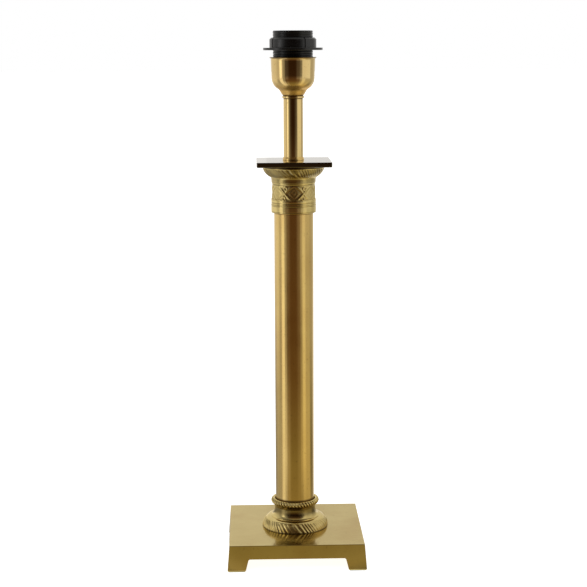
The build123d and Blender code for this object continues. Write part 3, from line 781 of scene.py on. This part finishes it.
def build_cup():
    """A spun cup: a small flared foot, a full bowl, a nearly straight side and a thin turned-out lip."""
    floor, lip, out = low("socket_cup"), high("socket_cup"), reach("socket_cup")
    wall, lip_run, lip_rise = 0.8, 0.40, 0.42
    foot, bead, root, shoulder, mouth = 10.4, 13.1, (15.2, floor + 6.7), (21.6, floor + 17.4), 22.2
    bowl = bowed(root, shoulder, 1.6, 24)
    side = [
        (foot, floor),
        (foot + 0.15, floor + 0.4),
        (foot + 0.8, floor + 1.3),
        (foot + 1.4, floor + 2.2),
        (foot + 2.0, floor + 3.2),
        (bead - 0.15, floor + 4.2),
        (bead + 0.45, floor + 5.1),
        (bead + 1.2, floor + 6.0),
        *bowl,
        *dense([shoulder, (mouth - 0.05, lip - 3.4)], 3.0)[1:],
        (mouth, lip - 2.2),
        (mouth + 0.12, lip - 1.6),
        (mouth + 0.45, lip - 1.1),
        (out - 0.35, lip - 0.85),
        *arc((out - lip_run, lip - lip_rise), lip_run, lip_rise, -80, 90, 8),
    ]
    inner = [
        (mouth + 0.3, lip),
        (mouth - 0.4, lip - 0.15),
        (mouth - 0.7, lip - 0.6),
        *dense([(mouth - wall, lip - 1.5), (shoulder[0] - wall, shoulder[1])], 3.0),
        *[(radius - 0.62, height + 0.55) for radius, height in reversed(bowl[:-1])],
        (bead + 0.6, floor + 7.2),
        (bead - 0.9, floor + 6.0),
        (bead - 0.9, floor + 4.6),
        (foot - 0.2, floor + 1.9),
        (foot - 0.6, floor + wall),
    ]
    outline = [(ROD_HOLE, floor), (foot - 0.4, floor), *side, *inner, (ROD_HOLE, floor + wall)]

    def relief(radius, height, angle):
        # tarnish and painted shade on the turned-out lip
        lip_tarnish_and_shade = 0.9 * np.clip((height - lip + 1.5) / 0.7, 0, 1) * (radius > mouth - 0.6)
        # painted shade on the cup's underside, where it sits on the neck ring
        foot_shade = 0.8 * (height < floor + 0.5)
        # the bowl's foot is satin: rougher, a little darker with painted shade, and tinted with the painted warm
        # reflection
        satin = window(height, floor - 2, floor + 10.5, 5.0)
        return 0 * height, np.clip(lip_tarnish_and_shade + foot_shade + 0.10 * satin, 0, 1), satin

    finished(turned("cup_spun", outline, 144, relief), "socket_cup", material=spun_brass)


# ---------------------------------------------------------------- lampholder
def helix(height, angle, pitch):
    """The wave of a right-hand thread, from -1 to 1."""
    return np.cos(2 * pi * (height / pitch - angle / (2 * pi)))


def build_barrel():
    """The moulded barrel with its 40 mm outside thread, bored for the screw shell."""
    floor, top, crest = low("holder_barrel"), high("holder_barrel"), reach("holder_barrel")
    skirt, bore, mouth_ease, shell_floor = 17.35, 14.2, 1.6, high("holder_insert")
    pitch, depth, thread_low, thread_high = 2.5, 0.32, floor + 9.0, top - 1.2
    outer = dense([(crest, floor + 0.4), (crest, top - 1.0), (crest - 0.45, top - 0.15)], 0.22)
    outline = [
        (skirt, floor),
        (crest - 0.4, floor),
        *outer,
        (crest - 0.8, top),
        *arc((bore + mouth_ease, top - mouth_ease), mouth_ease, mouth_ease, 90, 180, 6),
        (bore, shell_floor),
        (skirt, shell_floor),
    ]

    def relief(radius, height, angle):
        outer_face = (radius > crest - 0.6) & (height > floor + 0.1)
        groove = np.clip(0.35 + 0.75 * helix(height, angle, pitch), 0, 1)
        cut = depth * groove * window(height, thread_low, thread_high, 0.8 * pitch) * outer_face
        return -cut, 0.4 * cut

    finished(turned("barrel_moulded", outline, 160, relief), "holder_barrel", material=shaded_thread_plastic)


def build_holder_cap():
    """The dome of the lampholder, hidden in the cup."""
    floor, top = low("holder_cap"), high("holder_cap")
    nipple, dome, dome_z, rise, shoulder = 8.9, 18.9, floor + 8.6, 10.0, floor + 20.8
    neck, inner, hole, dome_floor = 17.3, 15.3, 6.85, floor + 10.6
    outline = [
        (hole, floor),
        (nipple - 0.4, floor),
        (nipple, floor + 0.4),
        (nipple, dome_z - 0.4),
        *arc((nipple, dome_z + rise), dome - nipple, rise, -86, 0, 16),
        (dome, shoulder - 0.3),
        (dome - 0.3, shoulder),
        (neck, shoulder),
        (neck, top),
        (inner, top),
        *arc((nipple, dome_z + rise), inner - nipple, rise - 2.0, 0, -86, 12),
        (hole, dome_floor),
    ]
    finished(turned("cap_moulded", outline, 96), "holder_cap")


def build_shell():
    """The thin screw shell with its rolled thread, pressed in from the plain wall of the solid."""
    floor, top = low("screw_shell"), high("screw_shell")
    out, wall = reach("screw_shell"), 0.5
    bore, opening, inner_floor = out - wall, 8.0, floor + wall
    pitch, depth = 3.63, 1.05
    outline = [
        (opening, floor),
        (out - 0.5, floor),
        *dense([(out, floor + 0.5), (out, top)], 0.3),
        *dense([(bore, top), (bore, inner_floor + 0.8)], 0.3),
        (bore - 0.8, inner_floor),
        (opening, inner_floor),
    ]

    def relief(radius, height, angle):
        wave = 0.5 + 0.5 * helix(height, angle, pitch)
        roll = depth * wave * window(height, floor + 2.4, top - 0.9, 1.6) * (radius > bore - 0.1)
        # the wall moves towards the axis on both its faces
        inward = np.where(radius > bore + 0.1, -roll, roll)
        return inward, 0 * roll

    finished(turned("shell_rolled", outline, 144, relief), "screw_shell")


def build_shade_ring():
    """A wide flange and a ring above it with four grip grooves."""
    floor, top = low("shade_ring"), high("shade_ring")
    flange, body, head, bore = reach("shade_ring"), 23.35, 21.6, 20.05
    shelf = floor + 2.4
    corners = [
        (bore, floor, 0.2),
        (flange, floor, 0.5),
        (flange, shelf, 0.5),
        (body, shelf, 0.35),
        (body, top - 1.7, 0.5),
        (head, top, 0.3),
        (bore, top, 0.2),
    ]
    grip_count, grip_phase, grip_half, grip_soft, grip_depth = 4, radians(-61.0), 0.55, 0.3, 0.9

    def relief(radius, height, angle):
        turns = (angle - grip_phase) * grip_count / (2 * pi)
        off = np.abs(turns - np.round(turns)) * 2 * pi / grip_count * body
        on_body = (radius > head - 0.3) & (radius < body + 0.4) & (height > shelf + 0.25)
        slot = np.clip((grip_half + grip_soft / 2 - off) / grip_soft, 0, 1) * on_body
        return -grip_depth * slot, 0.4 * slot

    finished(turned("ring_moulded", dense(eased(corners), 0.8), 900, relief), "shade_ring", body="shade_ring")


# ---------------------------------------------------------------- studio
def seen_by_eye(tree):
    """1 for camera, glossy and transmission rays."""
    rays = add(tree, "ShaderNodeLightPath").outputs
    seen = rays["Is Camera Ray"]
    for kind in ("Is Glossy Ray", "Is Transmission Ray"):
        seen = add(tree, "ShaderNodeMath", None, {0: seen, 1: rays[kind]}, operation="MAXIMUM").outputs[0]
    return seen


def glow(tree, colour=None, strength=None):
    """An emission shader; colour and strength are sockets, white and 1 where they are left out."""
    links = {key: source for key, source in (("Color", colour), ("Strength", strength)) if source}
    return add(tree, "ShaderNodeEmission", {"Color": (1, 1, 1, 1), "Strength": 1.0}, links).outputs[0]


def build_surround():
    """A graded screen bent round the lamp, its foot laid over the floor up to the base. Only reflections see it.

    Polished metal shows what stands round it: pale walls at the back, a bright strip at the left, a broad bright
    panel at the right, and a dull, warm floor and a dark wall in front. Azimuths are in degrees to the right of the
    front, and distances and heights in metres.
    """
    # distance and height of each row, its tone and warmth in front, and the warmth of its right side
    rows = [
        (0.075, 0.0015, 0.41, (1.0, 0.78, 0.34), (1.0, 0.86, 0.52)),
        (0.36, 0.0015, 0.29, (1.0, 0.80, 0.34), (1.0, 0.88, 0.55)),
        (0.75, 0.0015, 0.19, (1.0, 0.60, 0.26), (1.0, 0.92, 0.66)),
        (1.20, 0.0015, 0.135, (1.0, 0.52, 0.22), (1.0, 0.95, 0.76)),
        (2.10, 0.0015, 0.135, (1.0, 0.54, 0.25), (1.0, 0.96, 0.84)),
        (2.3, 0.19, 0.120, (1.0, 0.54, 0.28), (1.0, 0.98, 0.92)),
        (2.3, 0.30, 0.032, (1.0, 0.45, 0.20), (1.0, 1.0, 1.0)),
        (2.3, 0.66, 0.032, (1.0, 0.50, 0.25), (1.0, 0.98, 0.92)),
        (2.3, 2.30, 0.09, (1.0, 0.60, 0.35), (1.0, 0.98, 0.92)),
        (1.2, 3.00, 0.26, (1.0, 0.80, 0.50), (1.0, 0.98, 0.92)),
        (0.02, 3.30, 0.40, (1.0, 0.90, 0.70), (1.0, 0.98, 0.92)),
    ]
    # each panel from one azimuth to another, how soft its edges are, and its strength in each row
    panels = [
        (-190, -128, 12, (0.50, 0.36, 0.50, 0.72, 0.90, 1.04, 1.02, 0.82, 0.80, 0.75, 0.35)),
        (-128, -98, 10, (0.50, 0.54, 0.66, 0.90, 1.00, 1.04, 1.00, 0.78, 0.45, 0.40, 0.35)),
        (-98, -79, 6, (0.50, 0.54, 0.52, 0.52, 0.64, 0.78, 0.80, 0.55, 0.18, 0.18, 0.30)),
        (-79, -59, 6, (1.10, 1.10, 1.26, 1.36, 1.26, 1.16, 1.02, 1.06, 0.32, 0.20, 0.30)),
        (-59, -46, 10, (0.40, 0.88, 0.70, 0.40, 0.48, 0.46, 0.44, 0.44, 0.20, 0.15, 0.20)),
        (-46, -28, 16, (0.05, 0.22, 0.10, 0.02, 0.10, 0.16, 0.06, 0.04, 0.0, 0.05, 0.10)),
        (18, 36, 14, (0.0, 0.10, 0.08, 0.06, 0.12, 0.22, 0.07, 0.02, 0.0, 0.05, 0.10)),
        (36, 48, 12, (0.10, 0.56, 0.48, 0.36, 0.58, 0.62, 0.22, 0.20, 0.20, 0.15, 0.20)),
        (48, 68, 10, (0.45, 0.92, 1.00, 1.02, 0.98, 0.92, 1.02, 1.00, 0.80, 0.50, 0.35)),
        (68, 102, 10, (0.60, 0.68, 0.66, 0.64, 0.62, 0.72, 1.10, 0.80, 0.66, 0.50, 0.35)),
        (102, 135, 12, (0.40, 0.24, 0.38, 0.52, 0.58, 0.60, 0.60, 0.60, 0.64, 0.60, 0.35)),
        (135, 190, 12, (0.80, 1.00, 0.90, 0.86, 0.78, 0.74, 0.76, 0.78, 0.76, 0.65, 0.35)),
    ]
    white = np.array((1.0, 0.98, 0.95))
    azimuths = np.arange(-180, 181, 2.0)
    # how far each azimuth belongs to the front and to the right
    front = np.interp(azimuths, (-56, -38, 30, 48), (0, 1, 1, 0))
    right = np.interp(azimuths, (10, 40, 100, 140), (0, 1, 1, 0))
    points, colours, faces = [], [], []
    for row, (distance, level, tone, warm, right_warm) in enumerate(rows):
        sides = sum(strengths[row] * window(azimuths, start, end, soft) for start, end, soft, strengths in panels)
        for azimuth, side, share, turn in zip(azimuths, sides, front, right):
            angle = radians(azimuth)
            points.append((distance * sin(angle), -distance * cos(angle), level))
            reflection_tint = white * (1 - turn) + np.array(right_warm) * turn
            colours.append((*(side * reflection_tint + share * tone * np.array(warm)), 1.0))
    across = len(azimuths)
    for row in range(len(rows) - 1):
        for column in range(across - 1):
            first = row * across + column
            faces.append((first, first + 1, first + across + 1, first + across))
    mesh = bpy.data.meshes.new("surround")
    mesh.from_pydata(points, [], faces)
    tones = mesh.color_attributes.new("tone", "FLOAT_COLOR", "POINT")
    tones.data.foreach_set("color", np.array(colours, np.float32).ravel())
    material, tree, output = start_material("surround_cloth")
    tree.links.new(glow(tree, colour=attribute(tree, "tone", "Color")), output.inputs["Surface"])
    mesh.materials.append(material)
    obj = new_object("surround", mesh)
    obj.visible_camera = False
    obj.visible_diffuse = False
    obj.visible_shadow = False


def build_floor():
    """A wide pale floor that shows white and keeps the lamp's shadow."""
    mesh = bpy.data.meshes.new("floor")
    half, lift = 30.0, 0.85
    mesh.from_pydata([(-half, -half, 0), (half, -half, 0), (half, half, 0), (-half, half, 0)], [], [(0, 1, 2, 3)])
    material, tree, output = start_material("floor_white")
    tone = mix(tree, noise(tree, place(tree), 40.0), (0.80, 0.80, 0.80), (0.82, 0.82, 0.82))
    diffuse = add(tree, "ShaderNodeBsdfDiffuse", links={"Color": tone}).outputs[0]
    lifted = glow(tree, strength=scaled(tree, seen_by_eye(tree), lift))
    both = add(tree, "ShaderNodeAddShader", links={0: diffuse, 1: lifted})
    tree.links.new(both.outputs[0], output.inputs["Surface"])
    mesh.materials.append(material)
    new_object("floor", mesh)


def build_world():
    """A white world that lights the lamp at a plain level."""
    lighting = 0.42
    world = bpy.data.worlds.new("studio")
    world.use_nodes = True
    tree = world.node_tree
    tree.nodes.clear()
    level = remap(tree, seen_by_eye(tree), 0.0, 1.0, lighting, 1.0)
    background = add(tree, "ShaderNodeBackground", {"Color": (1, 1, 1, 1)}, {"Strength": level})
    output = add(tree, "ShaderNodeOutputWorld")
    tree.links.new(background.outputs[0], output.inputs["Surface"])
    bpy.context.scene.world = world


def build_lights():
    """A soft light from above that isn't mirrored, and a tall softbox at the left."""
    sun = bpy.data.lights.new("sun_soft", "SUN")
    sun.energy = 0.9
    sun.angle = radians(60)
    obj = new_object("sun_soft", sun)
    obj.rotation_euler = (radians(28), radians(-12), 0)
    obj.visible_glossy = False

    strip = bpy.data.lights.new("strip_left", "AREA")
    strip.shape = "RECTANGLE"
    strip.size, strip.size_y = 0.5, 1.4
    strip.energy = 1.6
    azimuth, distance = radians(-70), 2.2
    spot = Vector((distance * sin(azimuth), -distance * cos(azimuth), 0.70))
    aim = Vector((0, 0, 0.25))
    obj = new_object("strip_left", strip)
    obj.location = spot
    obj.rotation_euler = (aim - spot).to_track_quat("-Z", "Y").to_euler()


def build_camera():
    """The camera fitted to the base, the feet and the top plate in the photograph.

    It is fitted to a lamp turned by lamp_turn, and turned back with it, since the part stands square in its frame.
    """
    frame_pixels = 587.0
    focal_pixels = 1490.9
    place_mm = (6.85, -1504.4, 521.53)
    pitch, yaw, roll, lamp_turn = 0.16437, -0.00492, -0.00485, 0.0345
    camera = bpy.data.cameras.new("camera")
    camera.sensor_width = 36.0
    camera.lens = camera.sensor_width * focal_pixels / frame_pixels
    camera.clip_start = 0.05
    obj = new_object("camera", camera)
    turn_back = Matrix.Rotation(-lamp_turn, 4, "Z")
    look = Matrix.Rotation(-yaw, 4, "Z") @ Matrix.Rotation(pi / 2 - pitch, 4, "X") @ Matrix.Rotation(roll, 4, "Z")
    obj.matrix_world = turn_back @ Matrix.Translation(Vector(place_mm) * MM) @ look
    bpy.context.scene.camera = obj


build_base()
build_pads()
build_foot()
build_column()
build_capital()
build_top_plate()
build_stem()
build_cup()
build_barrel()
build_holder_cap()
build_shell()
build_shade_ring()
build_floor()
build_world()
build_lights()
build_surround()
build_camera()
bpy.context.scene.view_settings.view_transform = "Standard"
